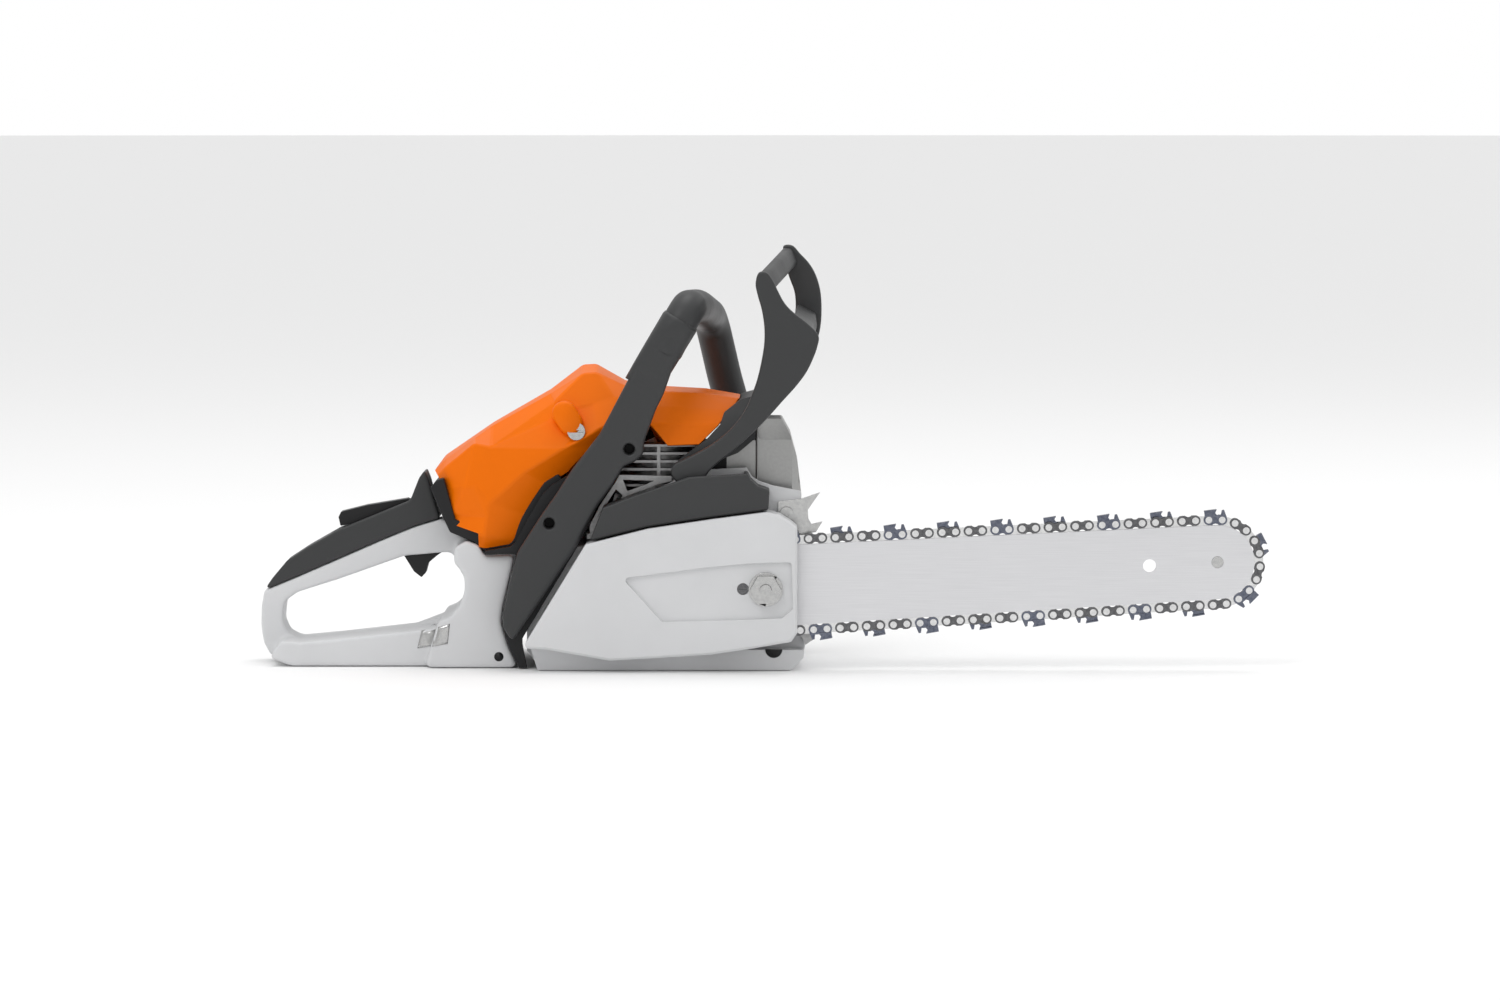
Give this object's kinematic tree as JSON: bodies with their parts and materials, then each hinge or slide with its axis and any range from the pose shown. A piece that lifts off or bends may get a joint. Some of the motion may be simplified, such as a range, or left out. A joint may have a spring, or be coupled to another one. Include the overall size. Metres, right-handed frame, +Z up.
{
  "type": "chainsaw",
  "caption": "Petrol chainsaw with guide bar and chain, front handlebar, rear handle with trigger, tilting hand guard and recoil starter.",
  "frame": {"origin": "on the plane that the saw stands on, in the engine's centre plane, 6 mm behind the crankshaft axis", "axes": "+X forward along the guide bar, +Y to the operator's left, +Z up"},
  "size_m": [0.7092, 0.219, 0.2938],
  "materials": {
    "orange_plastic": "satin",
    "light_grey_plastic": "satin",
    "dark_grey_plastic": "matte",
    "black_plastic": "matte",
    "bar_steel": "brushed",
    "chain_steel": "polished",
    "cutter_steel": "polished",
    "zinc_steel": "plated",
    "cast_aluminium": "cast",
    "muffler_steel": "satin",
    "spring_steel": "blued",
    "rubber": "matte",
    "ceramic": "glazed",
    "filter_fabric": "pleated",
    "rope_fibre": "braided"
  },
  "bodies": {
    "saw": {"air_filter": "filter_fabric", "bar_nut": "zinc_steel", "bar_stud": "zinc_steel", "brake_cover": "dark_grey_plastic", "buffer_plugs": "rubber", "bumper_spike": "zinc_steel", "bumper_spike_screws": "zinc_steel", "carburettor": "cast_aluminium", "chain_catcher": "cast_aluminium", "chain_cutters": "cutter_steel", "chain_drive_links": "chain_steel", "chain_rivets": "chain_steel", "chain_tie_straps": "chain_steel", "clutch_drum": "spring_steel", "crankcase": "cast_aluminium", "crankshaft_bearings": "zinc_steel", "cylinder": "cast_aluminium", "engine_bracket": "cast_aluminium", "engine_housing": "light_grey_plastic", "engine_pan": "cast_aluminium", "fan_housing": "light_grey_plastic", "front_handlebar": "dark_grey_plastic", "guide_bar": "bar_steel", "hand_guard_pins": "zinc_steel", "handle_frame": "black_plastic", "handle_molding": "dark_grey_plastic", "ignition_module": "black_plastic", "intake_manifold": "rubber", "muffler_front_shell": "muffler_steel", "muffler_rear_shell": "muffler_steel", "nose_bearing": "zinc_steel", "nose_sprocket": "spring_steel", "rewind_spring": "spring_steel", "shroud": "orange_plastic", "shroud_nose": "dark_grey_plastic", "spark_plug": "ceramic", "spark_plug_boot": "rubber", "sprocket_cover": "light_grey_plastic", "tank_housing": "light_grey_plastic", "tensioner_screw": "zinc_steel"},
    "crank": {"crankshaft_halves": "zinc_steel", "clutch_hub": "spring_steel", "clutch_shoes": "spring_steel", "flywheel": "cast_aluminium"},
    "piston_set": {"piston": "cast_aluminium", "piston_rings": "spring_steel", "piston_pin": "zinc_steel", "connecting_rod": "cast_aluminium", "crankpin": "zinc_steel"},
    "starter_rotor_body": {"starter_rotor": "black_plastic"},
    "starter_handle": {"starter_grip": "black_plastic", "starter_rope": "rope_fibre"},
    "trigger": {"throttle_trigger": "black_plastic"},
    "lockout": {"throttle_lockout": "black_plastic"},
    "throttle": {"throttle_valve": "zinc_steel"},
    "lever": {"control_lever": "black_plastic"},
    "guard": {"hand_guard": "dark_grey_plastic"},
    "fuel_lid": {"fuel_cap": "black_plastic"},
    "oil_lid": {"oil_cap": "black_plastic"},
    "shroud_screw": {"shroud_lock": "zinc_steel"}
  },
  "joints": [
    {"name": "crank_spin", "type": "hinge", "parent": "saw", "child": "crank", "pos_m": [0.006, 0, 0.054], "axis": [0, 1, 0], "continuous": true},
    {"name": "piston_slide", "type": "slide", "parent": "saw", "child": "piston_set", "axis": [0, 0, -1], "range_m": [0, 0.028]},
    {"name": "starter_pull", "type": "slide", "parent": "saw", "child": "starter_handle", "axis": [0, 0, 1], "range_m": [0, 0.8], "stiffness_N_per_m": 15, "springref_m": -0.3},
    {"name": "starter_spin", "type": "hinge", "parent": "saw", "child": "starter_rotor_body", "pos_m": [0.006, 0, 0.054], "axis": [0, 1, 0], "range_deg": [0, 1650]},
    {"name": "trigger_pull", "type": "hinge", "parent": "saw", "child": "trigger", "pos_m": [-0.157, 0, 0.088], "axis": [0, 1, 0], "range_deg": [0, 15], "stiffness_Nm_per_rad": 0.3, "springref_deg": -17.19},
    {"name": "lockout_press", "type": "hinge", "parent": "saw", "child": "lockout", "pos_m": [-0.174, 0, 0.108], "axis": [0, 1, 0], "range_deg": [-8, 0], "stiffness_Nm_per_rad": 0.3, "springref_deg": 22.92},
    {"name": "throttle_open", "type": "hinge", "parent": "saw", "child": "throttle", "pos_m": [-0.076, 0, 0.112], "axis": [0, 1, 0], "range_deg": [0, 75]},
    {"name": "lever_turn", "type": "hinge", "parent": "saw", "child": "lever", "pos_m": [-0.163, 0.02, 0.113], "axis": [0, 1, 0], "range_deg": [-20, 20]},
    {"name": "guard_tilt", "type": "hinge", "parent": "saw", "child": "guard", "pos_m": [0.03, 0, 0.129], "axis": [0, 1, 0], "range_deg": [0, 20]},
    {"name": "fuel_cap_turn", "type": "hinge", "parent": "saw", "child": "fuel_lid", "pos_m": [-0.116, 0.066, 0.042], "axis": [0, 1, 0], "range_deg": [0, 90]},
    {"name": "oil_cap_turn", "type": "hinge", "parent": "saw", "child": "oil_lid", "pos_m": [0.0757, 0.052, 0.046], "axis": [0, 1, 0], "range_deg": [0, 90]},
    {"name": "shroud_lock_turn", "type": "hinge", "parent": "saw", "child": "shroud_screw", "pos_m": [-0.0531, -0.06, 0.166], "axis": [0, -1, 0], "range_deg": [0, 90]}
  ],
  "couplings": [
    {"joint": "starter_spin", "follows": "starter_pull", "rad_per_m": 35.842},
    {"joint": "throttle_open", "follows": "trigger_pull", "ratio": 5}
  ]
}
